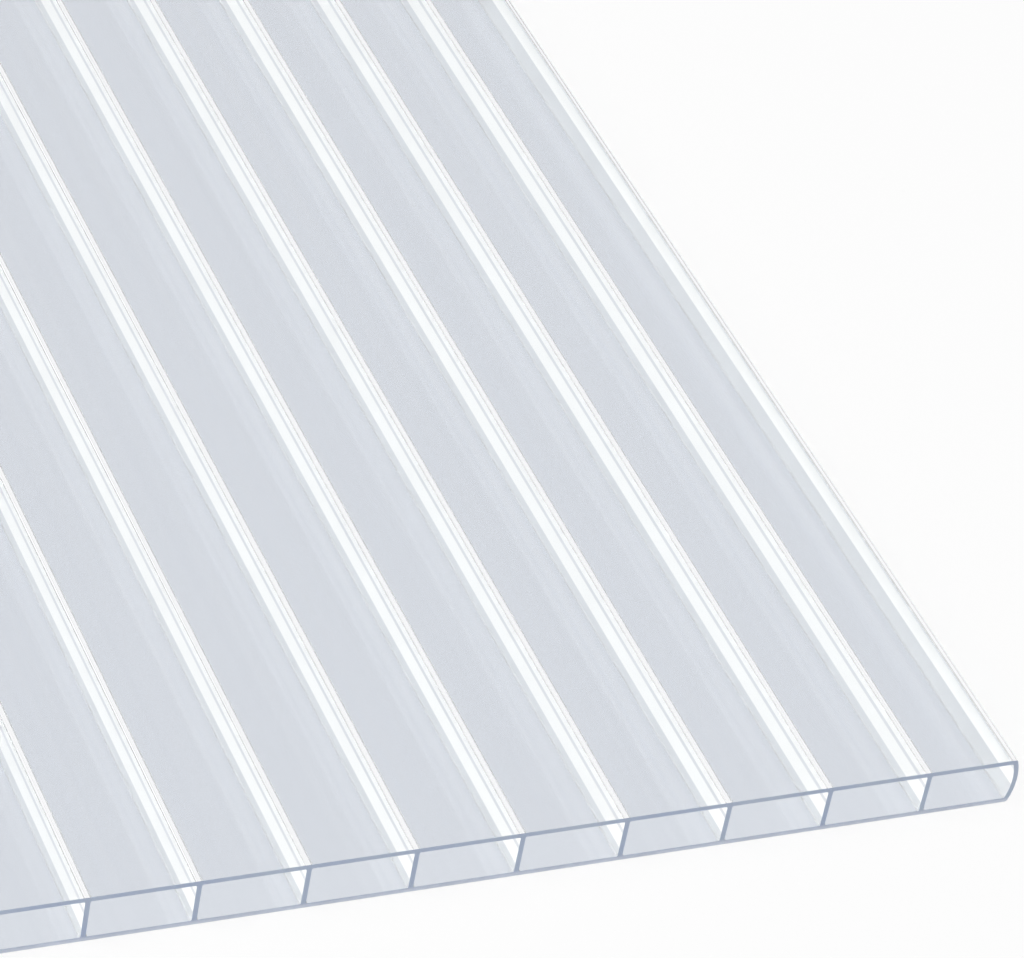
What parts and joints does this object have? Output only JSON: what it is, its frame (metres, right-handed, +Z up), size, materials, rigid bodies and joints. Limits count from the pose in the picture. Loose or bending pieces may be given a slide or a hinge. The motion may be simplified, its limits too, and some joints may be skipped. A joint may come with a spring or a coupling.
{
  "type": "multiwall polycarbonate sheet",
  "caption": "Clear extruded twin-wall glazing sheet: two flat skins held apart by upright ribs, open flutes along its length, bowed closed long edges and sawn open ends",
  "frame": {"origin": "centre of the underside, on the surface that the sheet lies on", "axes": "+X across the flutes, +Y along the flutes and the extrusion, +Z up through the thickness"},
  "size_m": [0.6998, 2, 0.016],
  "materials": {
    "clear_polycarbonate": "clear, smooth as extruded, sawn ends"
  },
  "bodies": {
    "root": {"twinwall_sheet": "clear_polycarbonate"}
  },
  "joints": []
}
